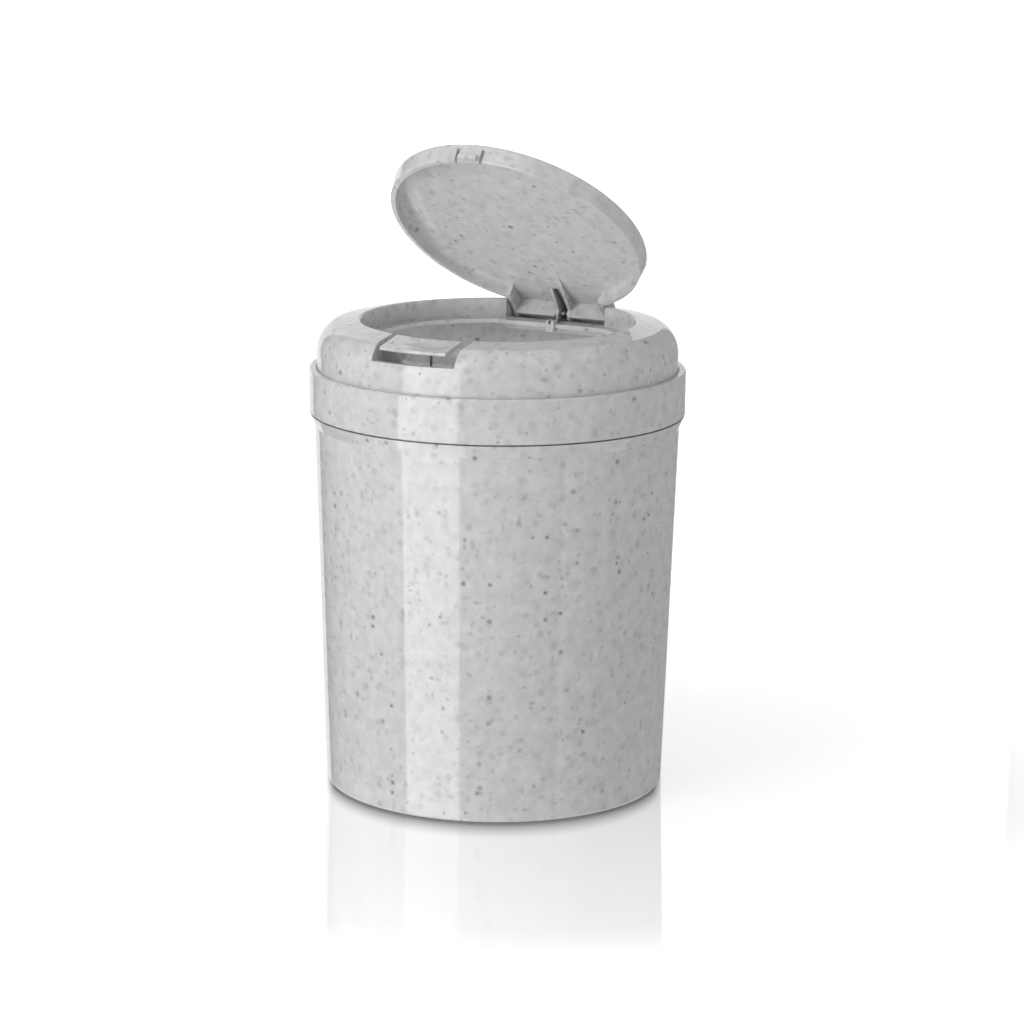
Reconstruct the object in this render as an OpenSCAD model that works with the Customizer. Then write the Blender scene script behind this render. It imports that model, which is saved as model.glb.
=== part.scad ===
// Countertop bin with a push button and a sprung lid.
// The origin is at the middle of the base, +Z is up, the button faces -Y and the hinge is at +Y.
// The lid is drawn closed and then swung open to the angle at which it rests.

/* [Bin body] */
// Outer radius of the tapered side, carried down to the table
base_r = 56.8; // [50:0.1:64]
// Radius of the rounded edge round the base
base_edge_r = 1.2; // [0.4:0.1:3]
// Width of the flare, from the top of the taper to the flare's edge
flare_w = 1.65; // [0.5:0.05:4]
// Height where the taper ends and the flare begins
side_top_z = 121.4; // [90:0.1:160]
// Height of the flare from the taper to the ledge that the cover stands over
flare_h = 4; // [2:0.1:8]
// Width of the gap between the flare's edge and the outside of the collar
flare_inset = 0.2; // [0.1:0.05:0.6]
// Wall of the bucket
body_wall = 2; // [1.4:0.1:3]
// Thickness of the bucket's floor
body_floor = 2; // [1.4:0.1:4]
// Height of the foot ring under the floor
foot_h = 1.2; // [0.5:0.1:3]
// Width of the foot ring
foot_w = 3.6; // [2:0.1:8]
// Height of the neck above the ledge
neck_h = 13; // [8:0.1:16]

/* [Cover] */
// Outer radius of the collar
collar_r = 62.5; // [58:0.1:70]
// Wall of the collar and of the dome
cover_wall = 1.9; // [1.4:0.1:2.6]
// Height of the collar from its parting line to its step
collar_h = 14.6; // [11:0.1:18]
// Gap at the parting line between body and collar
parting_gap = 0.4; // [0.2:0.05:1]
// Gap between the neck and the collar all round
neck_gap = 0.3; // [0.15:0.05:0.6]
// Width of the step on top of the collar
step_w = 2.6; // [1.5:0.1:4]
// Rounding of the collar's edges
collar_edge_r = 0.8; // [0.3:0.1:1.4]
// Width and depth of the fine groove in the step's corner
groove = 0.45; // [0.2:0.05:0.8]
// Straight height of the dome's wall above the step
dome_wall_h = 5.1; // [2:0.1:8]
// Height of the dome's rounded shoulder, down to where its curve would end
shoulder_h = 10; // [6:0.1:12]
// Width of the shoulder, as far as its curve would reach
shoulder_w = 8.4; // [5:0.1:12]
// Distance from the dome's wall in to the crease where the shoulder meets the sloping top band
crease_in = 5.3; // [4:0.1:7.5]
// Rise of the top band from the crease to the rim
band_rise = 1.4; // [0.4:0.1:2]
// Width of the top band, from the crease to the recess that the lid lies in
band_w = 9.3; // [6:0.1:14]
// Rounding of the rim round the recess
rim_edge_r = 1.2; // [0.4:0.1:2]
// Depth of the recess from the rim to its ledge
recess_depth = 6.6; // [5:0.1:8]
// Width of the ledge between the recess's wall and the mouth of the bin
ledge_w = 3.9; // [2:0.1:8]
// Thickness of the ledge and of the hinge shelf
ledge_t = 1.3; // [1.1:0.1:2.4]

/* [Lid] */
// Gap all round between the top of the lid and the recess
lid_gap = 1; // [0.6:0.05:1.6]
// Inward draft of the skirt from top to bottom
lid_draft = 0.7; // [0.2:0.1:1.2]
// Thickness of the lid's plate
lid_plate = 1.9; // [1.4:0.1:2.6]
// Wall of the lid's skirt
lid_wall = 1.8; // [1.2:0.1:2.6]
// Rounding of the lid's top edge
lid_edge_r = 0.9; // [0.3:0.1:1.4]
// Fillet between the plate and the inside of the skirt
lid_fillet_r = 1.6; // [0.5:0.1:2.5]
// Chamfer round the skirt's lower edge
lid_chamfer = 0.3; // [0.1:0.05:0.6]
// Gap between the skirt and the ledge when the lid is shut
lid_seat_gap = 0.35; // [0.2:0.05:0.6]
// Angle between the shut lid and the open stop
lid_open = 40.8; // [25:0.1:42]
// Distance between the middles of the two slits beside the catch
slit_pitch = 9; // [7:0.1:12]
// Width of each slit
slit_w = 1.2; // [0.8:0.1:2]
// How far the catch stands out of the skirt
catch_out = 1.5; // [1.1:0.05:1.6]
// Height of the catch
catch_h = 1.55; // [1.2:0.05:1.8]

/* [Hinge] */
// Distance of the hinge pin behind the recess's wall
hinge_back = 3.4; // [2.4:0.1:4.6]
// Depth of the hinge pin below the rim, also the radius of the lid's round tail
hinge_drop = 5; // [4.4:0.1:5.4]
// Radius of the hinge pin
hinge_pin_r = 1.1; // [0.8:0.05:1.4]
// Radial clearance of a pin in its holes
pin_gap = 0.06; // [0.02:0.01:0.1]
// Half the width of the lid's tail
tail_half = 18.3; // [14:0.1:19]
// Gap between the tail and the sides of its trough
tail_gap = 0.6; // [0.4:0.05:1]
// Gap between the round tail and the bottom of its trough
trough_gap = 0.4; // [0.3:0.05:0.8]
// Thickness of the outer lugs
lug_t = 1.6; // [1.2:0.1:2.4]
// Radius of the lugs round the pin
lug_r = 3; // [2.4:0.1:3.4]
// Half the width of the slot between the middle ribs
rib_slot_half = 1.7; // [1.6:0.05:3]
// Thickness of the middle ribs
rib_t = 1.2; // [1:0.1:2]
// How far forward of the hinge pin the middle ribs begin
rib_reach = 14.6; // [12:0.1:22]
// Fall of the middle ribs' lower edge for each millimetre towards the pin
rib_slope = 0.285; // [0.2:0.005:0.32]
// Distance of the middle ribs' slot to the right of the middle
rib_mid = 0.6; // [-2:0.1:2]
// How much farther forward the right middle rib begins
rib_longer = 3.8; // [0:0.1:5]
// Distance of the wall that hides the pin in front of the pin's middle, and its thickness
apron_front = 1.7; // [1.5:0.1:2.5]
apron_t = 1.1; // [0.8:0.1:1.6]
// Depth of that wall's lower edge below the pin's middle, with the lid shut
apron_drop = 2.8; // [2:0.1:3.2]
// Half the width of the tab that the spring's lower leg lies in
tab_half = 1.5; // [1.2:0.1:2.4]
// Distance of the tab to the right of the middle
tab_mid = 1.2; // [-2:0.1:2]
// Depth of the tab below the shelf, and its height above it
tab_drop = 2.6; // [1.5:0.1:4]
tab_rise = 1.2; // [0.9:0.1:2]
// Reach of the hinge shelf, from the hinge pin to its straight edge
shelf_reach = 12.7; // [11:0.1:16]

/* [Button] */
// Half the width of the notch for the button
notch_half = 15; // [12:0.1:17]
// Height of the notch's lower edge above the step
notch_rise = 8.9; // [7:0.1:10]
// Half the width of the button's pad
pad_half = 12.1; // [9:0.1:13]
// How far the button sits to the left of the notch's middle
button_left = 1.4; // [0:0.1:2]
// How far the pad's front edge stands out past the crease
pad_over = 1.8; // [0:0.1:2.2]
// Height of the pad's back edge below the rim
pad_back_drop = 0.3; // [0.2:0.1:1]
// Height of the pad's front edge below the rim
pad_front_drop = 2.5; // [2:0.1:3.6]
// Thickness of the pad
pad_t = 1.3; // [1:0.1:2.2]
// Half the width of the finger scoop in the pad
scoop_half = 10; // [6:0.1:11]
// Widths of the plain strips behind the scoop and in front of it
scoop_back = 0.8; // [0.4:0.1:2]
scoop_front = 1.8; // [1:0.1:4]
// Depth of the finger scoop
scoop_depth = 0.5; // [0.2:0.05:0.6]
// Depth of the pocket's floor below the lid's ledge
pocket_drop = 2.2; // [1.5:0.1:2.6]
// Gap between the recess and the button's upright wall
button_wall_gap = 0.3; // [0.2:0.05:0.6]
// Thickness of the button's upright wall
button_wall = 1.6; // [1.2:0.1:2]
// Half the width of the button's upright wall
button_wall_half = 12.4; // [10:0.1:13]
// How far the hook reaches in over the catch
hook_in = 1.15; // [0.9:0.05:1.2]
// Gap between the hook and the catch when the lid is shut
hook_gap = 0.4; // [0.3:0.05:0.6]
// Height of the hook at its root
hook_h = 1.8; // [1.2:0.1:2.2]
// Height of the hook at its tip, below its ramp
hook_tip = 0.7; // [0.5:0.1:1]
// Distance of the button's pin out from the recess's wall
button_pin_out = 0.5; // [0.1:0.1:1]
// Depth of the button's pin below the ledge
button_pin_drop = 5.6; // [5:0.1:6.5]
// Radius of the button's pin
button_pin_r = 0.8; // [0.6:0.05:1]
// Radius of the button's knuckles
knuckle_r = 1.8; // [1.5:0.05:2]
// Width of each knuckle
knuckle_w = 3; // [2:0.1:4]
// Gap between a knuckle and the ear beside it
knuckle_gap = 0.5; // [0.3:0.05:1]
// Thickness of each ear
ear_t = 1.6; // [1.2:0.1:2]

/* [Springs] */
// Wire radius of the lid's spring
lid_wire_r = 0.38; // [0.34:0.01:0.5]
// Coil radius of the lid's spring, to the middle of its wire
lid_coil_r = 2.05; // [1.8:0.05:2.2]
// Full turns of the lid's spring, before its legs
lid_turns = 1; // [1:1:2]
// Wire radius of the button's spring
button_wire_r = 0.3; // [0.2:0.05:0.35]
// Coil radius of the button's spring, to the middle of its wire
button_coil_r = 1.4; // [1.3:0.05:1.6]
// Full turns of the button's spring, before its legs
button_turns = 2; // [1:1:3]
// Gap between the turns of a spring
turn_gap = 0.44; // [0.42:0.01:0.6]
// Gap between a spring's leg and what it bears on
leg_gap = 0.05; // [0.02:0.01:0.2]

/* [Hidden] */
$fn = 96;

plastic = [0.8, 0.8, 0.795];
steel = [0.62, 0.63, 0.64];

// A little extra, so that cuts run past the faces they open
cut_past = 1;
// A sliver by which joined shapes run into each other
join = 0.2;
// Steps in each rounded edge of a profile
edge_steps = 6;
// Steps in the dome's shoulder
shoulder_steps = 14;

flare_top_z = side_top_z + flare_h;
flare_r = collar_r - flare_inset;
side_top_r = flare_r - flare_w;
collar_in_r = collar_r - cover_wall;
neck_r = collar_in_r - neck_gap;
neck_in_r = neck_r - body_wall;
neck_top_z = flare_top_z + neck_h;
floor_z = foot_h + body_floor;
floor_in_r = base_r + (side_top_r - base_r) * floor_z / side_top_z - body_wall;
foot_out_r = base_r - base_edge_r;

collar_z = flare_top_z + parting_gap;
step_z = collar_z + collar_h;
dome_r = collar_r - step_w;
dome_in_r = dome_r - cover_wall;
shoulder_z = step_z + dome_wall_h;
shoulder_in_r = dome_r - shoulder_w;
crease_r = dome_r - crease_in;
recess_r = crease_r - band_w;
mouth_r = recess_r - ledge_w;

// Height of the shoulder's curve at a radius
function shoulder_at(r) =
    shoulder_z + shoulder_h * sqrt(1 - pow((r - shoulder_in_r) / shoulder_w, 2));

crease_z = shoulder_at(crease_r);
rim_z = crease_z + band_rise;
rim_crest_r = recess_r + rim_edge_r;
ledge_z = rim_z - recess_depth;
ledge_under_z = ledge_z - ledge_t;

hinge_y = recess_r + hinge_back;
hinge_z = rim_z - hinge_drop;
shelf_y = hinge_y - shelf_reach;
lid_r = recess_r - lid_gap;
lid_bottom_z = ledge_z + lid_seat_gap;
plate_under_z = rim_z - lid_plate;
lid_bottom_r = lid_r - lid_draft;
lid_in_r = lid_bottom_r - lid_wall;
trough_r = hinge_drop + trough_gap;
trough_half = tail_half + tail_gap;
leg_slot_half = lid_wire_r + leg_gap;

notch_z = step_z + notch_rise;
pocket_z = ledge_z - pocket_drop;
button_pin_y = recess_r + button_pin_out;
button_pin_z = ledge_z - button_pin_drop;
wall_in_r = recess_r + button_wall_gap;
wall_out_r = wall_in_r + button_wall;
wall_foot_z = ledge_under_z;
pad_back_z = rim_z - pad_back_drop;
pad_front_r = crease_r + pad_over;
pad_front_z = rim_z - pad_front_drop;
// Radius of the scoop's round, from its width and its depth
scoop_w = pad_front_r - scoop_front - wall_in_r - scoop_back;
scoop_r = (pow(scoop_w / 2, 2) + pow(scoop_depth, 2)) / (2 * scoop_depth);
catch_top_z = lid_bottom_z + catch_h;
// Half the width of the catch, from the tongue's half width and the plain strip beside the catch
tongue_strip = 0.6;
catch_half = (slit_pitch - slit_w) / 2 - tongue_strip;
hook_z = catch_top_z + hook_gap;

// Points on a quarter round, from one angle to the other, about a centre
function arc(cx, cy, rx, ry, from, to, steps) =
    [for (i = [0 : steps]) let (a = from + (to - from) * i / steps) [cx + rx * cos(a), cy + ry * sin(a)]];

// The angle on the shoulder's curve at which its radius is the crease's
crease_angle = acos((crease_r - shoulder_in_r) / shoulder_w);

// The outside of the cover from the collar's foot to the rim
cover_outside = concat(
    arc(collar_r - collar_edge_r, collar_z + collar_edge_r / 2, collar_edge_r, collar_edge_r / 2,
        -90, 0, edge_steps),
    arc(collar_r - collar_edge_r, step_z - collar_edge_r, collar_edge_r, collar_edge_r, 0, 90, edge_steps),
    [[dome_r + groove, step_z], [dome_r, step_z - groove], [dome_r, step_z + groove / 2]],
    arc(shoulder_in_r, shoulder_z, shoulder_w, shoulder_h, 0, crease_angle, shoulder_steps),
    arc(rim_crest_r, rim_z - rim_edge_r, rim_edge_r, rim_edge_r, 90, 180, edge_steps)
);

// The inside of the dome, a wall's thickness within the outside
dome_inside = concat(
    [[recess_r + cover_wall, ledge_under_z], [recess_r + cover_wall, rim_z - cover_wall]],
    arc(shoulder_in_r, shoulder_z, shoulder_w - cover_wall, shoulder_h - cover_wall,
        crease_angle, 0, shoulder_steps),
    [[dome_in_r, neck_top_z], [collar_in_r, neck_top_z], [collar_in_r, collar_z]]
);

// A box given by its two ends along each axis
module block(x, y, z) {
    translate([x[0], y[0], z[0]])
        cube([x[1] - x[0], y[1] - y[0], z[1] - z[0]]);
}

// A round bar along X between two places
module bar_x(x, y, z, r) {
    translate([x[0], y, z])
        rotate([0, 90, 0])
            cylinder(r = r, h = x[1] - x[0]);
}

// A ring about the upright axis
module ring(r_in, r_out, z) {
    rotate_extrude()
        polygon([[r_in, z[0]], [r_out, z[0]], [r_out, z[1]], [r_in, z[1]]]);
}

// The same shape at both sides of the middle plane, or of one beside it
module both_sides(x = 0) {
    for (side = [0, 1])
        translate([x, 0, 0])
            mirror([side, 0, 0])
                children();
}

// Two places along X, moved to where the button sits
function left_of(x) = [x[0] - button_left, x[1] - button_left];

// A wire swept along points, with its rings square to its path, for paths that never run along X
function unit(v) = v / norm(v);
function heading(p, i) = unit(p[min(i + 1, len(p) - 1)] - p[max(i - 1, 0)]);
wire_sides = 6;
module wire(points, r) {
    rings = [for (i = [0 : len(points) - 1])
        let (t = heading(points, i), side = unit(cross(t, [1, 0, 0])), up = cross(side, t))
            for (k = [0 : wire_sides - 1])
                points[i] + r * (cos(360 * k / wire_sides) * side + sin(360 * k / wire_sides) * up)];
    last = len(points) - 1;
    sides = [for (i = [0 : last - 1]) for (k = [0 : wire_sides - 1])
        let (a = i * wire_sides + k, b = i * wire_sides + (k + 1) % wire_sides)
            [a, b, b + wire_sides, a + wire_sides]];
    quads = [for (q = sides) each [[q[0], q[1], q[2]], [q[0], q[2], q[3]]]];
    foot = [for (k = [1 : wire_sides - 2]) [0, k + 1, k]];
    tip = [for (k = [1 : wire_sides - 2])
        [last * wire_sides, last * wire_sides + k, last * wire_sides + k + 1]];
    polyhedron(points = rings, faces = concat(quads, foot, tip));
}

// The bucket, with its foot ring, taper, flare and neck
module bin_body() {
    color(plastic)
        rotate_extrude()
            polygon(concat(
                [[0, foot_h], [foot_out_r - foot_w, foot_h], [foot_out_r - foot_w + join, 0]],
                arc(base_r - base_edge_r, base_edge_r, base_edge_r, base_edge_r, -90, 0, edge_steps),
                [[side_top_r, side_top_z], [flare_r, flare_top_z], [neck_r, flare_top_z],
                    [neck_r, neck_top_z], [neck_in_r, neck_top_z], [neck_in_r, flare_top_z],
                    [floor_in_r, floor_z], [0, floor_z]]));
}

// The cover without its notches, one round moulding
module cover_shell() {
    rotate_extrude()
        polygon(concat(
            cover_outside,
            [[recess_r, ledge_z], [mouth_r, ledge_z], [mouth_r, ledge_under_z]],
            dome_inside));
}

// Everything under the dome's outside, to which the added walls are trimmed
module cover_space() {
    rotate_extrude()
        polygon(concat(cover_outside, [[0, rim_z - rim_edge_r], [0, collar_z]]));
}

// The walls and floor of the button's pocket, and the ears for its pin
module pocket_walls() {
    both_sides()
        block([notch_half, notch_half + cover_wall], [-dome_r, -mouth_r], [pocket_z - ledge_t, rim_z]);
    block([-notch_half - cover_wall, notch_half + cover_wall], [-dome_r, -recess_r + join],
        [pocket_z - ledge_t, pocket_z]);
}

ear_in = button_wall_half + knuckle_gap;
slot_room = 1.7;
module pin_ears() {
    both_sides(-button_left) {
        block([ear_in, ear_in + ear_t],
            [-button_pin_y - knuckle_r - ear_t, -button_pin_y + knuckle_r],
            [button_pin_z, pocket_z - join]);
        bar_x([ear_in, ear_in + ear_t], -button_pin_y, button_pin_z, knuckle_r);
    }
}

// The shelf, the round trough and the side walls that carry the lid's tail
module hinge_walls() {
    wall_x = trough_half + cover_wall;
    intersection() {
        cylinder(r = recess_r + cover_wall, h = ledge_z);
        block([-dome_r, dome_r], [shelf_y, dome_r], [ledge_under_z, ledge_z]);
    }
    both_sides()
        block([trough_half, wall_x], [mouth_r - cover_wall, dome_r], [ledge_under_z, rim_z]);
    bar_x([-wall_x, wall_x], hinge_y, hinge_z, trough_r + ledge_t);
    block([-wall_x, wall_x], [hinge_y, hinge_y + trough_r + ledge_t], [hinge_z, rim_z]);
    both_sides()
        bar_x([trough_half, wall_x + ear_t], hinge_y, hinge_z, lug_r);
}

// The tab on the shelf's edge over which the spring's lower leg hooks
tab_t = 1.1;
tab_length = 2;
module leg_tab() {
    translate([tab_mid, 0, 0]) {
        block([-tab_half, tab_half], [shelf_y - tab_t, shelf_y + join], [ledge_z - tab_drop, ledge_z]);
        both_sides()
            block([leg_slot_half, tab_half], [shelf_y - tab_t, shelf_y + tab_length],
                [ledge_z - tab_drop, ledge_z + tab_rise]);
    }
}

// The collar, dome, recess, button pocket and hinge trough in one moulding
module cover_ring() {
    color(plastic)
        difference() {
            union() {
                cover_shell();
                intersection() {
                    cover_space();
                    union() {
                        pocket_walls();
                        hinge_walls();
                    }
                }
                pin_ears();
                leg_tab();
            }
            // The recess, through the added walls
            difference() {
                translate([0, 0, ledge_z])
                    cylinder(r = recess_r, h = recess_depth + cut_past);
                block([tab_mid - tab_half - join, tab_mid + tab_half + join],
                    [mouth_r / 2, shelf_y + tab_length + join], [ledge_z - join, rim_z]);
            }
            // The notch and pocket for the button
            block([-notch_half, notch_half], [-collar_r, -mouth_r - ledge_t - cut_past],
                [notch_z, rim_z + cut_past]);
            intersection() {
                block([-notch_half, notch_half],
                    [-dome_r, join - recess_r * cos(asin(notch_half / recess_r))],
                    [pocket_z, rim_z + cut_past]);
                ring(recess_r - join, dome_in_r - cover_wall / 2, [pocket_z, rim_z + cut_past]);
            }
            // The slot through which the button's wall reaches down to its pin
            intersection() {
                block(left_of([-ear_in, ear_in]), [-dome_r, 0], [button_pin_z, pocket_z + cut_past]);
                ring(recess_r - join, wall_out_r + slot_room,
                    [pocket_z - ledge_t - cut_past, pocket_z + cut_past]);
            }
            bar_x(left_of([-ear_in - ear_t - cut_past, ear_in + ear_t + cut_past]), -button_pin_y,
                button_pin_z, button_pin_r + pin_gap);
            // The notch for the lid's tail and the round bottom of its trough
            block([-trough_half, trough_half], [mouth_r - cover_wall, hinge_y], [ledge_z, rim_z + cut_past]);
            block([-trough_half, trough_half], [hinge_y - join, hinge_y + trough_r],
                [hinge_z, rim_z + cut_past]);
            bar_x([-trough_half, trough_half], hinge_y, hinge_z, trough_r);
            both_sides()
                bar_x([trough_half - join, trough_half + cover_wall + ear_t + cut_past], hinge_y, hinge_z,
                    hinge_pin_r + pin_gap);
        }
}

// The lid's skirt and plate, shut, one round shell
module lid_shell() {
    rotate_extrude()
        polygon(concat(
            [[0, plate_under_z]],
            arc(lid_in_r - lid_fillet_r, plate_under_z - lid_fillet_r, lid_fillet_r, lid_fillet_r, 90, 0,
                edge_steps),
            [[lid_in_r, lid_bottom_z], [lid_bottom_r - lid_chamfer, lid_bottom_z],
                [lid_bottom_r, lid_bottom_z + lid_chamfer]],
            arc(lid_r - lid_edge_r, rim_z - lid_edge_r, lid_edge_r, lid_edge_r, 0, 90, edge_steps),
            [[0, rim_z]]));
}

// The plate that runs back from the disc and curls round the pin
module lid_tail() {
    tail_y = lid_r * cos(asin(tail_half / lid_r));
    intersection() {
        union() {
            difference() {
                bar_x([-tail_half, tail_half], hinge_y, hinge_z, hinge_drop);
                bar_x([-tail_half - cut_past, tail_half + cut_past], hinge_y, hinge_z,
                    hinge_drop - lid_plate);
                block([-dome_r, dome_r], [0, hinge_y], [0, rim_z]);
                block([-dome_r, dome_r], [0, dome_r], [0, hinge_z]);
            }
            block([-tail_half, tail_half], [tail_y - lid_wall, hinge_y + join], [plate_under_z, rim_z]);
        }
        cover_space();
    }
}

// The point where a line from a place beside the pin touches a round about the pin
function touch(from, r) =
    let (d = from - [hinge_y, hinge_z], a = atan2(d[1], d[0]) + acos(r / norm(d)))
        [hinge_y + r * cos(a), hinge_z + r * sin(a)];

// A flat wall across X, with this lower edge, from the plate down to a round about the pin
module hinge_web(x, edge, r) {
    rotate([90, 0, 90])
        translate([0, 0, x[0]])
            linear_extrude(height = x[1] - x[0])
                polygon(concat(edge, [[hinge_y, hinge_z], [hinge_y, plate_under_z + join],
                    [edge[0][0], plate_under_z + join]]));
    bar_x(x, hinge_y, hinge_z, r);
}

// The middle ribs, and the boss between them that the spring's upper leg bears under
boss_front = 1.6;
boss_back = 2.4;
boss_h = 0.7;
module lid_ribs() {
    rib_y = hinge_y - rib_reach;
    rib_foot = [hinge_y - lug_r, plate_under_z - (rib_reach - lug_r) * rib_slope];
    translate([rib_mid, 0, 0]) {
        hinge_web([-rib_slot_half - rib_t, -rib_slot_half], [[rib_y, plate_under_z], rib_foot], lug_r);
        hinge_web([rib_slot_half, rib_slot_half + rib_t],
            [[rib_y - rib_longer, plate_under_z], rib_foot], lug_r);
        block([-rib_slot_half - rib_t, rib_slot_half + join], [rib_y - boss_front, rib_y + boss_back],
            [plate_under_z - boss_h, plate_under_z + join]);
    }
}

// The wall in front of the pin, from the outer lugs to the middle ribs
module lid_apron() {
    apron_y = hinge_y - apron_front;
    apron_z = [hinge_z - apron_drop, plate_under_z + join];
    rib_side = rib_slot_half + rib_t - join;
    block([-tail_half + lug_t - join, rib_mid - rib_side], [apron_y - apron_t, apron_y], apron_z);
    block([rib_mid + rib_side, tail_half - lug_t + join], [apron_y - apron_t, apron_y], apron_z);
}

// The round lid with its catch, tail, lugs and ribs, drawn shut
module lid_shut() {
    lug_y = lid_in_r * cos(asin(tail_half / lid_in_r));
    lug_heel = [hinge_y - trough_r - join, lid_bottom_z];
    difference() {
        union() {
            difference() {
                lid_shell();
                // The skirt stops at the lugs
                block([-tail_half + lug_t, tail_half - lug_t], [lug_y - lid_wall, lid_r],
                    [lid_bottom_z - cut_past, plate_under_z]);
                // The slits beside the catch tongue
                both_sides()
                    block([(slit_pitch - slit_w) / 2, (slit_pitch + slit_w) / 2],
                        [-lid_r - cut_past, -lid_bottom_r + lid_wall + cut_past],
                        [lid_bottom_z - cut_past, plate_under_z]);
            }
            // The catch on the tongue
            intersection() {
                ring(lid_bottom_r - join, lid_bottom_r + catch_out, [lid_bottom_z, catch_top_z]);
                block([-catch_half, catch_half], [-dome_r, 0], [lid_bottom_z, catch_top_z]);
            }
            lid_tail();
            both_sides()
                hinge_web([tail_half - lug_t, tail_half],
                    [[lug_y, lid_bottom_z], lug_heel, touch(lug_heel, lug_r)], lug_r);
            lid_ribs();
            lid_apron();
        }
        bar_x([-tail_half - cut_past, tail_half + cut_past], hinge_y, hinge_z, hinge_pin_r + pin_gap);
    }
}

// The lid at rest, open against its stop
module flap_lid() {
    color(plastic)
        translate([0, hinge_y, hinge_z])
            rotate([-lid_open, 0, 0])
                translate([0, -hinge_y, -hinge_z])
                    lid_shut();
}

// The pad, its upright wall, the hook and the knuckles, one L-shaped lever
module push_button() {
    color(plastic)
        difference() {
            union() {
                pad();
                intersection() {
                    ring(wall_in_r, wall_out_r, [wall_foot_z, pad_back_z - pad_t / 2]);
                    block(left_of([-button_wall_half, button_wall_half]), [-dome_r, 0], [0, rim_z]);
                }
                // The hook over the catch, with a ramp on top
                intersection() {
                    rotate_extrude()
                        polygon([[wall_in_r - hook_in, hook_z], [wall_in_r + join, hook_z],
                            [wall_in_r + join, hook_z + hook_h], [wall_in_r - hook_in, hook_z + hook_tip]]);
                    block([-slit_pitch / 2, slit_pitch / 2], [-dome_r, 0], [0, rim_z]);
                }
                // The arms down to the knuckles, each arm a piece of the round wall
                for (x = [left_of([-button_wall_half, knuckle_w - button_wall_half]),
                    left_of([button_wall_half - knuckle_w, button_wall_half])]) {
                    intersection() {
                        ring(wall_in_r, wall_out_r, [button_pin_z, wall_foot_z + join]);
                        block(x, [-dome_r, 0], [0, rim_z]);
                    }
                    bar_x(x, -button_pin_y, button_pin_z, knuckle_r);
                }
            }
            bar_x(left_of([-button_wall_half - cut_past, button_wall_half + cut_past]), -button_pin_y,
                button_pin_z, button_pin_r + pin_gap);
        }
}

// The pad, with a rounded front edge and a finger scoop
module pad() {
    lip_r = pad_t / 2;
    slope = atan2(pad_back_z - pad_front_z, pad_front_r - wall_in_r);
    scoop_lift = scoop_r - scoop_depth;
    scoop_y = -wall_in_r - scoop_back - scoop_w / 2;
    scoop_z = pad_back_z - (-scoop_y - wall_in_r) * tan(slope);
    difference() {
        intersection() {
            rotate_extrude()
                polygon(concat(
                    [[wall_in_r, pad_back_z - pad_t], [wall_in_r, pad_back_z]],
                    arc(pad_front_r - lip_r, pad_front_z - lip_r, lip_r, lip_r, 90 - slope, -90,
                        2 * edge_steps)));
            block(left_of([-pad_half, pad_half]), [-dome_r, 0], [0, rim_z]);
        }
        bar_x(left_of([-scoop_half, scoop_half]), scoop_y - scoop_lift * sin(slope),
            scoop_z + scoop_lift * cos(slope), scoop_r);
    }
}

// The steel pin through the lid's lugs and the cover's walls
module hinge_pin() {
    pin_half = trough_half + cover_wall + ear_t / 2;
    color(steel)
        bar_x([-pin_half, pin_half], hinge_y, hinge_z, hinge_pin_r);
}

// The steel pin through the button's knuckles and the cover's ears
module button_pin() {
    color(steel)
        bar_x(left_of([-ear_in - ear_t, ear_in + ear_t]), -button_pin_y, button_pin_z, button_pin_r);
}

// Points on a coil about a bar along X, and the legs at its two ends
function coil(y, z, r, from, to, x0, x1, steps) =
    [for (i = [0 : steps]) let (a = from + (to - from) * i / steps)
        [x0 + (x1 - x0) * i / steps, y + r * cos(a), z + r * sin(a)]];
// The least distance between points of a wire that lie more than half a turn apart
function self_gap(p, skip) =
    min([for (i = [0 : len(p) - 1]) for (k = [i + skip : 1 : len(p) - 1]) norm(p[i] - p[k])]);
curl_rings = 8;

// Where a place on the shut lid goes when the lid opens
function opened(p) =
    let (y = p[1] - hinge_y, z = p[2] - hinge_z)
        [p[0], hinge_y + y * cos(lid_open) + z * sin(lid_open),
            hinge_z - y * sin(lid_open) + z * cos(lid_open)];

lid_pitch = 2 * lid_wire_r + turn_gap;
lid_sweep = 360 * lid_turns + 180 - lid_open;
lid_coil_x = lid_pitch * lid_sweep / 720;
leg_rest_z = ledge_z + lid_wire_r + leg_gap;
lid_spring_path = concat(
    [[tab_mid, shelf_y - tab_t, leg_rest_z], [tab_mid, shelf_y + tab_length + lid_wire_r, leg_rest_z],
        [rib_mid + lid_coil_x, hinge_y - trough_r + lid_wire_r, leg_rest_z + leg_gap]],
    coil(hinge_y, hinge_z, lid_coil_r, -90, lid_sweep - 90, rib_mid + lid_coil_x, rib_mid - lid_coil_x,
        ceil(curl_rings * lid_sweep / 360)),
    [opened([rib_mid - lid_coil_x, hinge_y - rib_reach + boss_back + lid_wire_r,
        plate_under_z - lid_wire_r - leg_gap])]);

module lid_spring() {
    echo(lid_spring_gap = self_gap(lid_spring_path, curl_rings - 1) - 2 * lid_wire_r);
    color(steel)
        wire(lid_spring_path, lid_wire_r);
}

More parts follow.
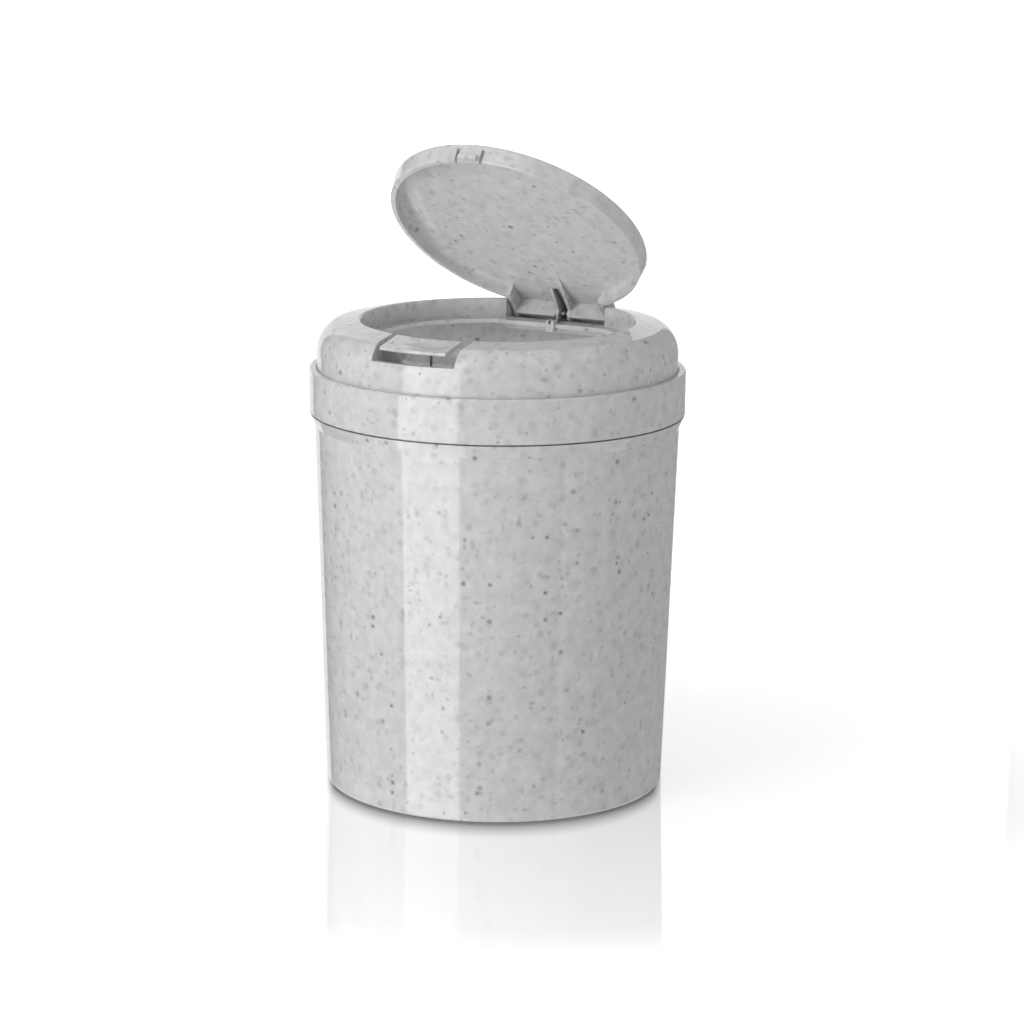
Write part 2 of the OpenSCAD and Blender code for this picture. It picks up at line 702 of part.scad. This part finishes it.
button_pitch = 2 * button_wire_r + turn_gap;
button_sweep = 360 * button_turns + 90;
button_coil_x = button_pitch * button_sweep / 720;
wire_front_y = -wall_out_r - button_wire_r - leg_gap;
button_spring_path = concat(
    [[button_coil_x, wire_front_y, hook_z - hook_gap], [button_coil_x, wire_front_y, wall_foot_z]],
    coil(-button_pin_y, button_pin_z, button_coil_r, 180, 180 + button_sweep, button_coil_x, -button_coil_x,
        ceil(curl_rings * button_sweep / 360)),
    [[-button_coil_x, -button_pin_y + 2 * button_wire_r + button_coil_r, button_pin_z - button_coil_r],
        [-button_coil_x, -mouth_r - ledge_t, ledge_under_z - button_wire_r - leg_gap]]);

module button_spring() {
    echo(button_spring_gap = self_gap(button_spring_path, curl_rings - 1) - 2 * button_wire_r);
    color(steel)
        wire(button_spring_path, button_wire_r);
}

bin_body();
cover_ring();
flap_lid();
push_button();
hinge_pin();
lid_spring();
button_pin();
button_spring();
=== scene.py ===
import math

import bpy
from mathutils import Matrix, Vector


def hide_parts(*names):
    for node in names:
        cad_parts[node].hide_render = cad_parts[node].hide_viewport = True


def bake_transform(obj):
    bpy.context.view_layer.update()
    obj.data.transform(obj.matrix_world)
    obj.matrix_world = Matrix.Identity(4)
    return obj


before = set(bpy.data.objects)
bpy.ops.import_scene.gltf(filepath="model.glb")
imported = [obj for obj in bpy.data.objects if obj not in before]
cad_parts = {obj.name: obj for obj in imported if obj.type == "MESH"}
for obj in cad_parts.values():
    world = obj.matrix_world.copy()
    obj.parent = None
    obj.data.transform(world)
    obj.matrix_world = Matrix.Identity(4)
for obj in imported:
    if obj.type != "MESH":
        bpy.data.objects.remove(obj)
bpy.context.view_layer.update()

MM = 0.001


def deselect_all():
    bpy.ops.object.select_all(action="DESELECT")


def only(piece):
    """Selects one piece and makes it the active one."""
    deselect_all()
    piece.select_set(True)
    bpy.context.view_layer.objects.active = piece


# ---------------------------------------------------------------- camera
# The camera's place, worked out from the round rims in the photograph, in metres and radians
CAMERA_TURN = math.radians(27.8)
CAMERA_RAISE = math.radians(12.406)
CAMERA_ROLL = math.radians(0.564)
CAMERA_DISTANCE = 1.1177
AIM_RIGHT = 0.005211
AIM_HEIGHT = 0.09083
SENSOR_MM = 36
FOCAL_PIXELS = 3338.0
PHOTO_PIXELS = 1024

UP = Vector((0, 0, 1))
right_level = Vector((math.cos(CAMERA_TURN), math.sin(CAMERA_TURN), 0))
back_level = Vector((math.sin(CAMERA_TURN), -math.cos(CAMERA_TURN), 0))


def place_camera():
    """Sets up the camera that sees the bin as the photograph does."""
    aim = AIM_RIGHT * right_level + AIM_HEIGHT * UP
    back = back_level * math.cos(CAMERA_RAISE) + UP * math.sin(CAMERA_RAISE)
    up = UP * math.cos(CAMERA_RAISE) - back_level * math.sin(CAMERA_RAISE)
    right = right_level * math.cos(CAMERA_ROLL) + up * math.sin(CAMERA_ROLL)
    top = up * math.cos(CAMERA_ROLL) - right_level * math.sin(CAMERA_ROLL)
    place = aim + CAMERA_DISTANCE * back
    bpy.ops.object.camera_add()
    camera = bpy.context.active_object
    camera.name = "photo_camera"
    camera.matrix_world = Matrix((
        (right.x, top.x, back.x, place.x),
        (right.y, top.y, back.y, place.y),
        (right.z, top.z, back.z, place.z),
        (0, 0, 0, 1)))
    camera.data.sensor_width = SENSOR_MM
    camera.data.lens = SENSOR_MM * FOCAL_PIXELS / PHOTO_PIXELS
    camera.data.clip_start = 0.01
    bpy.context.scene.camera = camera


# ---------------------------------------------------------------- material helpers
def new_material(name):
    """A fresh material with its node tree and its Principled BSDF."""
    material = bpy.data.materials.new(name)
    material.use_nodes = True
    tree = material.node_tree
    return material, tree, tree.nodes["Principled BSDF"]


def feed(tree, socket, value):
    """Gives a socket a plain number or another node's output."""
    if isinstance(value, (int, float)):
        socket.default_value = value
    else:
        tree.links.new(value, socket)


def math_node(tree, operation, *values):
    node = tree.nodes.new("ShaderNodeMath")
    node.operation = operation
    for socket, value in zip(node.inputs, values):
        feed(tree, socket, value)
    return node.outputs[0]


def ranged(tree, value, low, high):
    """A value of 0 to 1 spread from low to high."""
    node = tree.nodes.new("ShaderNodeMapRange")
    tree.links.new(value, node.inputs["Value"])
    node.inputs["To Min"].default_value = low
    node.inputs["To Max"].default_value = high
    return node.outputs[0]


def ramp_down(tree, value, start, end):
    """1 below start, 0 above end, and a smooth fall between."""
    node = tree.nodes.new("ShaderNodeMapRange")
    node.interpolation_type = "SMOOTHSTEP"
    node.inputs["To Min"].default_value = 1
    node.inputs["To Max"].default_value = 0
    for name, at in (("Value", value), ("From Min", start), ("From Max", end)):
        feed(tree, node.inputs[name], at)
    return node.outputs[0]


# Flecks differ in size and depth from one to the next, between the smallest share and that plus the spread
SMALLEST_SIZE, SIZE_SPREAD = 0.5, 0.7
FAINTEST_DEPTH, DEPTH_SPREAD = 0.5, 0.5


def group_socket(group, name, way, kind="NodeSocketFloat", value=None):
    socket = group.interface.new_socket(name=name, in_out=way, socket_type=kind)
    if value is not None:
        socket.default_value = value


def speck_group():
    """Scattered flecks through the plastic: a share of the cells of a Voronoi pattern holds one each."""
    group = bpy.data.node_groups.new("straw_flecks", "ShaderNodeTree")
    group_socket(group, "Vector", "INPUT", "NodeSocketVector")
    group_socket(group, "Cells per metre", "INPUT", value=300)
    group_socket(group, "Size", "INPUT", value=0.12)
    group_socket(group, "Share", "INPUT", value=0.2)
    group_socket(group, "Core", "INPUT", value=0.5)
    group_socket(group, "Fleck", "OUTPUT")
    source = group.nodes.new("NodeGroupInput")
    sink = group.nodes.new("NodeGroupOutput")
    cells = group.nodes.new("ShaderNodeTexVoronoi")
    cells.feature = "F1"
    group.links.new(source.outputs["Vector"], cells.inputs["Vector"])
    group.links.new(source.outputs["Cells per metre"], cells.inputs["Scale"])
    split = group.nodes.new("ShaderNodeSeparateColor")
    group.links.new(cells.outputs["Color"], split.inputs["Color"])
    chosen = math_node(group, "LESS_THAN", split.outputs["Red"], source.outputs["Share"])
    spread = math_node(group, "MULTIPLY_ADD", split.outputs["Green"], SIZE_SPREAD, SMALLEST_SIZE)
    radius = math_node(group, "MULTIPLY", source.outputs["Size"], spread)
    core = math_node(group, "MULTIPLY", radius, source.outputs["Core"])
    spot = ramp_down(group, cells.outputs["Distance"], core, radius)
    depth = math_node(group, "MULTIPLY_ADD", split.outputs["Blue"], DEPTH_SPREAD, FAINTEST_DEPTH)
    fleck = math_node(group, "MULTIPLY", math_node(group, "MULTIPLY", spot, depth), chosen)
    group.links.new(fleck, sink.inputs["Fleck"])
    return group


FLECKS = speck_group()


def flecks(tree, vector, cells, size, share, core):
    """One set of flecks, 1 where one lies and 0 between them."""
    node = tree.nodes.new("ShaderNodeGroup")
    node.node_tree = FLECKS
    tree.links.new(vector, node.inputs["Vector"])
    node.inputs["Cells per metre"].default_value = cells
    node.inputs["Size"].default_value = size
    node.inputs["Share"].default_value = share
    node.inputs["Core"].default_value = core
    return node.outputs["Fleck"]


def turned(tree, vector, turn, stretch):
    """The pattern turned and drawn out, for flecks that are short fibres."""
    node = tree.nodes.new("ShaderNodeMapping")
    tree.links.new(vector, node.inputs["Vector"])
    node.inputs["Rotation"].default_value = [math.radians(angle) for angle in turn]
    node.inputs["Scale"].default_value = stretch
    return node.outputs["Vector"]


def ragged(tree, vector, scale, reach):
    """The pattern pushed about a little, so that flecks get uneven outlines."""
    stir = tree.nodes.new("ShaderNodeTexNoise")
    stir.inputs["Scale"].default_value = scale
    stir.inputs["Detail"].default_value = 1
    tree.links.new(vector, stir.inputs["Vector"])
    push = tree.nodes.new("ShaderNodeVectorMath")
    push.operation = "MULTIPLY_ADD"
    tree.links.new(stir.outputs["Color"], push.inputs[0])
    push.inputs[1].default_value = (reach, reach, reach)
    tree.links.new(vector, push.inputs[2])
    return push.outputs["Vector"]


def noise(tree, vector, scale, detail, roughness=0.5):
    node = tree.nodes.new("ShaderNodeTexNoise")
    tree.links.new(vector, node.inputs["Vector"])
    node.inputs["Scale"].default_value = scale
    node.inputs["Detail"].default_value = detail
    node.inputs["Roughness"].default_value = roughness
    return node.outputs["Fac"]


def mixed(tree, share, a, b):
    """A colour between a and b."""
    node = tree.nodes.new("ShaderNodeMix")
    node.data_type = "RGBA"
    tree.links.new(share, node.inputs["Factor"])
    for name, value in (("A", a), ("B", b)):
        socket = next(s for s in node.inputs if s.name == name and s.type == "RGBA")
        if isinstance(value, tuple):
            socket.default_value = value
        else:
            tree.links.new(value, socket)
    return next(s for s in node.outputs if s.type == "RGBA")


def grey(level):
    return (level, level, level, 1)


# ---------------------------------------------------------------- materials
PLASTIC_GREY = 0.56
CLOUD_DARK, CLOUD_LIGHT = 0.75, 1.26
# Each kind of fleck: cells per metre, size, share of the cells that hold one, firm core, strength and grey
PALE_FLECKS = (310, 0.56, 0.5, 0.2, 0.45, 0.3)
SHORT_FIBRES = (400, 0.38, 0.12, 0.2, 0.55, 0.26)
DARK_DOTS = (270, 0.33, 0.27, 0.1, 0.78, 0.09)
# The three ways that the fibres lie: how far the pattern is turned, in degrees, and how it is drawn out
FIBRE_WAYS = (((20, 0, 35), (0.35, 1, 1)), ((0, 60, -50), (1, 0.35, 1)), ((70, 20, 10), (1, 1, 0.35)))


def sprinkled(tree, colour, vector, kind):
    """The colour with one kind of fleck strewn over it."""
    cells, size, share, core, strength, level = kind
    spots = flecks(tree, vector, cells, size, share, core)
    return mixed(tree, math_node(tree, "MULTIPLY", spots, strength), colour, grey(level))


def straw_plastic():
    """Glossy light grey plastic filled with fine plant fibre: dark dots, pale flecks and short fibres."""
    material, tree, shader = new_material("straw_plastic")
    place = tree.nodes.new("ShaderNodeTexCoord").outputs["Object"]
    uneven = ragged(tree, place, 1000, 0.0013)
    rounder = ragged(tree, place, 900, 0.0006)
    cloud = noise(tree, place, 240, 4, 0.65)
    colour = mixed(tree, cloud, grey(PLASTIC_GREY * CLOUD_DARK), grey(PLASTIC_GREY * CLOUD_LIGHT))
    colour = sprinkled(tree, colour, uneven, PALE_FLECKS)
    for turn, stretch in FIBRE_WAYS:
        colour = sprinkled(tree, colour, turned(tree, uneven, turn, stretch), SHORT_FIBRES)
    colour = sprinkled(tree, colour, rounder, DARK_DOTS)
    tree.links.new(colour, shader.inputs["Base Color"])
    tree.links.new(ranged(tree, noise(tree, place, 900, 2), 0.05, 0.09), shader.inputs["Roughness"])
    shader.inputs["IOR"].default_value = 1.5
    bump = tree.nodes.new("ShaderNodeBump")
    bump.inputs["Strength"].default_value = 0.12
    bump.inputs["Distance"].default_value = 0.00004
    tree.links.new(noise(tree, place, 1400, 3), bump.inputs["Height"])
    tree.links.new(bump.outputs["Normal"], shader.inputs["Normal"])
    return material


def drawn_steel(name, level, streak_stretch):
    """Drawn wire or rod: fine streaks along its length."""
    material, tree, shader = new_material(name)
    place = tree.nodes.new("ShaderNodeTexCoord").outputs["Object"]
    streaks = noise(tree, turned(tree, place, (0, 0, 0), streak_stretch), 2600, 3)
    colour = mixed(tree, streaks, grey(level * 0.88), grey(level * 1.08))
    tree.links.new(colour, shader.inputs["Base Color"])
    shader.inputs["Metallic"].default_value = 1
    tree.links.new(ranged(tree, streaks, 0.24, 0.4), shader.inputs["Roughness"])
    return material


plastic = straw_plastic()
pin_steel = drawn_steel("pin_steel", 0.62, (0.05, 1, 1))
spring_steel = drawn_steel("spring_steel", 0.24, (0.3, 1, 1))


def dress(node, material):
    """Gives a CAD node its material."""
    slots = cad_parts[node].material_slots
    if not slots:
        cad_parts[node].data.materials.append(material)
    for each in slots:
        each.material = material


for node in ("bin_body", "cover_ring", "flap_lid", "push_button"):
    dress(node, plastic)
for node in ("hinge_pin", "button_pin"):
    dress(node, pin_steel)


# ---------------------------------------------------------------- springs
POINTS_PER_TURN = 28
# Points of a wire that lie closer than this are merged, in metres
MERGE_DISTANCE = 0.000002


def softened(points, rounds=2):
    """The same path with its corners cut, so that the wire bends and doesn't fold."""
    for _ in range(rounds):
        cut = [points[0]]
        for a, b in zip(points, points[1:]):
            cut += [a.lerp(b, 0.25), a.lerp(b, 0.75)]
        points = cut + [points[-1]]
    return points


def coil(centre_y, centre_z, radius, start, sweep, x_from, x_to):
    """Turns of wire round a line along X, from one X to another, with angles in degrees."""
    steps = math.ceil(POINTS_PER_TURN * abs(sweep) / 360)
    path = []
    for i in range(steps + 1):
        share = i / steps
        angle = math.radians(start + sweep * share)
        path.append(Vector((x_from + (x_to - x_from) * share,
                            centre_y + radius * math.cos(angle),
                            centre_z + radius * math.sin(angle))))
    return path


def wire(name, path, radius):
    """A round wire along a path in millimetres, as a closed mesh tube."""
    deselect_all()
    bpy.ops.curve.primitive_nurbs_path_add()
    piece = bpy.context.active_object
    piece.name = name
    piece.data.splines.clear()
    line = piece.data.splines.new("POLY")
    line.points.add(len(path) - 1)
    for point, at in zip(line.points, path):
        point.co = (*(at * MM), 1)
    piece.location = (0, 0, 0)
    piece.data.dimensions = "3D"
    piece.data.twist_mode = "MINIMUM"
    piece.data.bevel_depth = radius * MM
    piece.data.bevel_resolution = 3
    piece.data.use_fill_caps = True
    only(piece)
    bpy.ops.object.convert(target="MESH")
    piece = bpy.context.active_object
    bpy.ops.object.mode_set(mode="EDIT")
    bpy.ops.mesh.select_all(action="SELECT")
    bpy.ops.mesh.remove_doubles(threshold=MERGE_DISTANCE)
    bpy.ops.mesh.normals_make_consistent(inside=False)
    bpy.ops.object.mode_set(mode="OBJECT")
    bpy.ops.object.shade_smooth_by_angle(angle=math.radians(50))
    piece.data.materials.clear()
    piece.data.materials.append(spring_steel)
    return piece


# Sizes repeated from the part's source, in millimetres
RIM_Z = 156.194
HINGE_Y = 48.7
HINGE_Z = RIM_Z - 5
LEDGE_Z = RIM_Z - 6.6
LEDGE_T = 1.3
LEDGE_UNDER_Z = LEDGE_Z - LEDGE_T
RECESS_R = 45.3
MOUTH_R = 41.4
TROUGH_R = 5.4
LEG_GAP = 0.05
TURN_GAP = 0.44


def lid_spring():
    """The lid's spring: one leg lies on the ledge's tab and the other presses up under the lid's boss."""
    wire_r, coil_r, open_angle = 0.38, 2.05, 40.8
    rib_mid, tab_mid, tab_front, tab_t, tab_length = 0.6, 1.2, 34.9, 1.1, 2
    rib_reach, boss_back, plate_drop = 14.6, 2.4, 3.1
    sweep = 360 + 180 - open_angle
    half = (2 * wire_r + TURN_GAP) * sweep / 720
    rest = LEDGE_Z + wire_r + LEG_GAP
    turn = math.radians(open_angle)
    y, z = wire_r + boss_back - rib_reach, plate_drop - wire_r - LEG_GAP
    tip = Vector((rib_mid - half, HINGE_Y + y * math.cos(turn) + z * math.sin(turn),
                  HINGE_Z - y * math.sin(turn) + z * math.cos(turn)))
    lower = [Vector((tab_mid, tab_front, rest)),
             Vector((tab_mid, tab_front + tab_t + tab_length + wire_r, rest)),
             Vector((rib_mid + half, HINGE_Y - TROUGH_R + wire_r, rest + LEG_GAP))]
    turns = coil(HINGE_Y, HINGE_Z, coil_r, -90, sweep, rib_mid + half, rib_mid - half)
    piece = wire("lid_torsion_spring", softened(lower + turns + [tip], 1), wire_r)
    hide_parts("lid_spring")
    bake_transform(piece)


def button_spring():
    """The button's spring: one leg stands in front of the button's wall and one lies under the ledge."""
    wire_r, coil_r = 0.3, 1.4
    wall_gap, wall_t = 0.3, 1.6
    # The catch's underside and thickness over the ledge, and the hook's gap above it
    catch_under, catch_t, hook_gap = 0.35, 1.55, 0.4
    pin_y, pin_z = -45.8, LEDGE_Z - 5.6
    sweep = 360 * 2 + 90
    half = (2 * wire_r + TURN_GAP) * sweep / 720
    front = -(RECESS_R + wall_gap + wall_t) - wire_r - LEG_GAP
    hook_z = LEDGE_Z + catch_under + catch_t + hook_gap
    upper = [Vector((half, front, hook_z - hook_gap)), Vector((half, front, LEDGE_UNDER_Z))]
    turns = coil(pin_y, pin_z, coil_r, 180, sweep, half, -half)
    lower = [Vector((-half, pin_y + 2 * wire_r + coil_r, pin_z - coil_r)),
             Vector((-half, -MOUTH_R - LEDGE_T, LEDGE_UNDER_Z - wire_r - LEG_GAP))]
    piece = wire("button_torsion_spring", softened(upper + turns + lower, 1), wire_r)
    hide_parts("button_spring")
    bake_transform(piece)


lid_spring()
button_spring()


# ---------------------------------------------------------------- stage and light
FLOOR_GREY = 0.93
FLOOR_SIZE = 8
# The table's own light, near the bin and far from it, as the camera sees it, and what it gives the bin's foot
NEAR_GLOW, FAR_GLOW = 0.51, 0.85
NEAR_BOUNCE = 0.3
# How much of the table is mirror close to the bin
MIRROR_SHARE = 0.46
# Painted shadow on the table: the dark line and the soft shade in front of the bin's foot
FOOT_RADIUS = 0.0562
PAINTED_SOFT_SHADOW, PAINTED_LINE_SHADOW = 0.76, 0.08
# What the white surroundings give to plain surfaces and to reflections
WORLD_FILL, WORLD_SHINE = 0.61, 1.0
# The cards that reflections show: the softbox, the dark ones and the dim ones at the right
BOX_GLOW, DARK_GLOW, SIDE_GLOW, RIGHT_GLOW = 3.5, 0.03, 0.45, 0.38
CARD_DISTANCE = 1.1
# The lamps' power in watts
KEY_POWER, FRONT_POWER, INSIDE_POWER = 8.0, 1.0, 0.07
LIGHT_AIM = Vector((0, 0, 0.08))


def stage_plane(name, centre, facing, width, height, material):
    """A plain card or floor that isn't part of the object."""
    deselect_all()
    bpy.ops.mesh.primitive_plane_add(size=1)
    card = bpy.context.active_object
    card.name = name
    side = UP.cross(facing).normalized() if abs(facing.z) < 0.9 else Vector((1, 0, 0))
    top = facing.cross(side).normalized()
    card.data.transform(Matrix((
        (side.x * width, top.x * height, facing.x, centre.x),
        (side.y * width, top.y * height, facing.y, centre.y),
        (side.z * width, top.z * height, facing.z, centre.z),
        (0, 0, 0, 1))))
    card.data.materials.append(material)


def along(tree, place, way):
    """How far a place lies along a level direction."""
    node = tree.nodes.new("ShaderNodeVectorMath")
    node.operation = "DOT_PRODUCT"
    tree.links.new(place, node.inputs[0])
    node.inputs[1].default_value = way
    return node.outputs["Value"]


def painted_contact_shadow(tree, place):
    """Painted shadow: the dark line and the soft shade on the table in front of the bin's foot, no wider than
    the bin.
    """
    across = along(tree, place, right_level)
    forward = along(tree, place, back_level)
    square = math_node(tree, "SUBTRACT", FOOT_RADIUS ** 2, math_node(tree, "MULTIPLY", across, across))
    edge = math_node(tree, "SQRT", math_node(tree, "MAXIMUM", square, 0))
    beyond = math_node(tree, "SUBTRACT", forward, edge)
    soft = math_node(tree, "MULTIPLY", ramp_down(tree, beyond, -0.004, 0.019), PAINTED_SOFT_SHADOW)
    line = math_node(tree, "MULTIPLY", ramp_down(tree, beyond, 0.002, 0.0048), PAINTED_LINE_SHADOW)
    within = ramp_down(tree, math_node(tree, "ABSOLUTE", across), 0.053, 0.0575)
    front = math_node(tree, "SUBTRACT", 1, ramp_down(tree, forward, 0, 0.012))
    return math_node(tree, "MULTIPLY", math_node(tree, "ADD", soft, line),
                     math_node(tree, "MULTIPLY", within, front))


def shader_mix(tree, share, a, b):
    """A shader between a and b."""
    node = tree.nodes.new("ShaderNodeMixShader")
    for socket, value in zip(node.inputs, (share, a, b)):
        tree.links.new(value, socket)
    return node.outputs["Shader"]


def floor_material():
    """White table, pure white far out, with the bin's shadow from the lamps, a painted shadow in front of its
    foot, and a faint mirror image near it.
    """
    material, tree, shader = new_material("white_table")
    shader.inputs["Base Color"].default_value = grey(FLOOR_GREY)
    shader.inputs["Roughness"].default_value = 1
    shader.inputs["Specular IOR Level"].default_value = 0
    shader.inputs["Emission Color"].default_value = grey(1)
    path = tree.nodes.new("ShaderNodeLightPath")
    place = tree.nodes.new("ShaderNodeTexCoord").outputs["Object"]
    length = tree.nodes.new("ShaderNodeVectorMath")
    length.operation = "LENGTH"
    tree.links.new(place, length.inputs[0])
    away = length.outputs["Value"]
    level = math_node(tree, "MULTIPLY_ADD", ramp_down(tree, away, 0.06, 0.3), NEAR_GLOW - FAR_GLOW, FAR_GLOW)
    seen = math_node(tree, "MULTIPLY", path.outputs["Is Camera Ray"], level)
    close = math_node(tree, "MULTIPLY", ramp_down(tree, away, 0.06, 0.13), NEAR_BOUNCE)
    given = math_node(tree, "MULTIPLY", path.outputs["Is Diffuse Ray"], close)
    tree.links.new(math_node(tree, "ADD", seen, given), shader.inputs["Emission Strength"])
    mirror = tree.nodes.new("ShaderNodeBsdfGlossy")
    mirror.inputs["Roughness"].default_value = 0.03
    # A black surface, mixed in for camera rays only, that paints the shadow in front of the bin's foot
    painted_shadow_black = tree.nodes.new("ShaderNodeBsdfDiffuse")
    painted_shadow_black.inputs["Color"].default_value = grey(0)
    clear = tree.nodes.new("ShaderNodeBsdfTransparent")
    mirrored = math_node(tree, "MULTIPLY", ramp_down(tree, away, 0.155, 0.24), MIRROR_SHARE)
    # How much painted shadow darkens the table, seen by the camera only
    painted_shadow_amount = math_node(tree, "MULTIPLY", painted_contact_shadow(tree, place), path.outputs["Is Camera Ray"])
    surface = shader_mix(tree, mirrored, shader.outputs["BSDF"], mirror.outputs["BSDF"])
    surface = shader_mix(tree, painted_shadow_amount, surface, painted_shadow_black.outputs["BSDF"])
    surface = shader_mix(tree, path.outputs["Is Glossy Ray"], surface, clear.outputs["BSDF"])
    tree.links.new(surface, tree.nodes["Material Output"].inputs["Surface"])
    return material


def glow_material(name, strength):
    """A card that only reflections show."""
    material, tree, shader = new_material(name)
    tree.nodes.remove(shader)
    glow = tree.nodes.new("ShaderNodeEmission")
    clear = tree.nodes.new("ShaderNodeBsdfTransparent")
    glossy = tree.nodes.new("ShaderNodeLightPath").outputs["Is Glossy Ray"]
    tree.links.new(math_node(tree, "MULTIPLY", glossy, strength), glow.inputs["Strength"])
    tree.links.new(shader_mix(tree, glossy, clear.outputs["BSDF"], glow.outputs["Emission"]),
                   tree.nodes["Material Output"].inputs["Surface"])
    return material


def toward(angle):
    """A level direction from the bin, that many degrees to the camera's left."""
    turn = math.radians(angle)
    return back_level * math.cos(turn) - right_level * math.sin(turn)


def add_lamp(kind, name, place, power):
    """A lamp that reflections don't show."""
    bpy.ops.object.light_add(type=kind, location=place)
    lamp = bpy.context.active_object
    lamp.name = name
    lamp.data.energy = power
    lamp.visible_glossy = False
    return lamp


def area_light(name, place, width, height, power):
    lamp = add_lamp("AREA", name, place, power)
    lamp.data.shape = "RECTANGLE"
    lamp.data.size, lamp.data.size_y = width, height
    lamp.rotation_euler = (LIGHT_AIM - place).to_track_quat("-Z", "Y").to_euler()


def light_world():
    """White all round: plain white to the camera, and dimmer light on the bin."""
    world = bpy.data.worlds.new("white_studio")
    bpy.context.scene.world = world
    world.use_nodes = True
    tree = world.node_tree
    fill = tree.nodes["Background"]
    fill.inputs["Color"].default_value = grey(1)
    path = tree.nodes.new("ShaderNodeLightPath")
    seen = math_node(tree, "MAXIMUM", path.outputs["Is Camera Ray"], path.outputs["Is Transmission Ray"])
    shine = math_node(tree, "MULTIPLY", path.outputs["Is Glossy Ray"], WORLD_SHINE)
    soft = math_node(tree, "MULTIPLY", path.outputs["Is Diffuse Ray"], WORLD_FILL)
    total = math_node(tree, "ADD", math_node(tree, "MAXIMUM", seen, shine), soft)
    tree.links.new(total, fill.inputs["Strength"])


def reflection_card(name, start, end, strength, low=-0.75, high=1.45):
    """A tall card round the bin between two angles, both counted from the camera to its left."""
    way = toward((start + end) / 2)
    width = 2 * CARD_DISTANCE * math.tan(math.radians((end - start) / 2))
    stage_plane(name, way * CARD_DISTANCE + UP * (low + high) / 2, -way, width, high - low,
                glow_material(name + "_glow", strength))


def light_stage():
    light_world()
    stage_plane("table", Vector((0, 0, 0)), UP, FLOOR_SIZE, FLOOR_SIZE, floor_material())
    reflection_card("softbox_card", 22.6, 60, BOX_GLOW)
    # The flare under the cover leans so far out that it shows this card, and so carries the bright band on
    reflection_card("flare_card", 24.5, 78, BOX_GLOW, low=-2.3, high=-0.78)
    reflection_card("left_card", 60, 150, DARK_GLOW)
    reflection_card("front_card", -42, 22.6, DARK_GLOW)
    reflection_card("side_card", -71, -45.7, SIDE_GLOW)
    reflection_card("right_card", -165, -71, RIGHT_GLOW)
    area_light("key", toward(52) * 1.2 + UP * 0.42, 0.7, 0.84, KEY_POWER)
    area_light("front", toward(-8) * 1.2 + UP * 0.16, 1.0, 0.3, FRONT_POWER)
    # The thin walls let light into the bin, as one soft lamp inside it
    inside = add_lamp("POINT", "inside_fill", Vector((0, 0, 0.09)), INSIDE_POWER)
    inside.data.shadow_soft_size = 0.03


place_camera()
light_stage()
bpy.context.scene.view_settings.view_transform = "Standard"
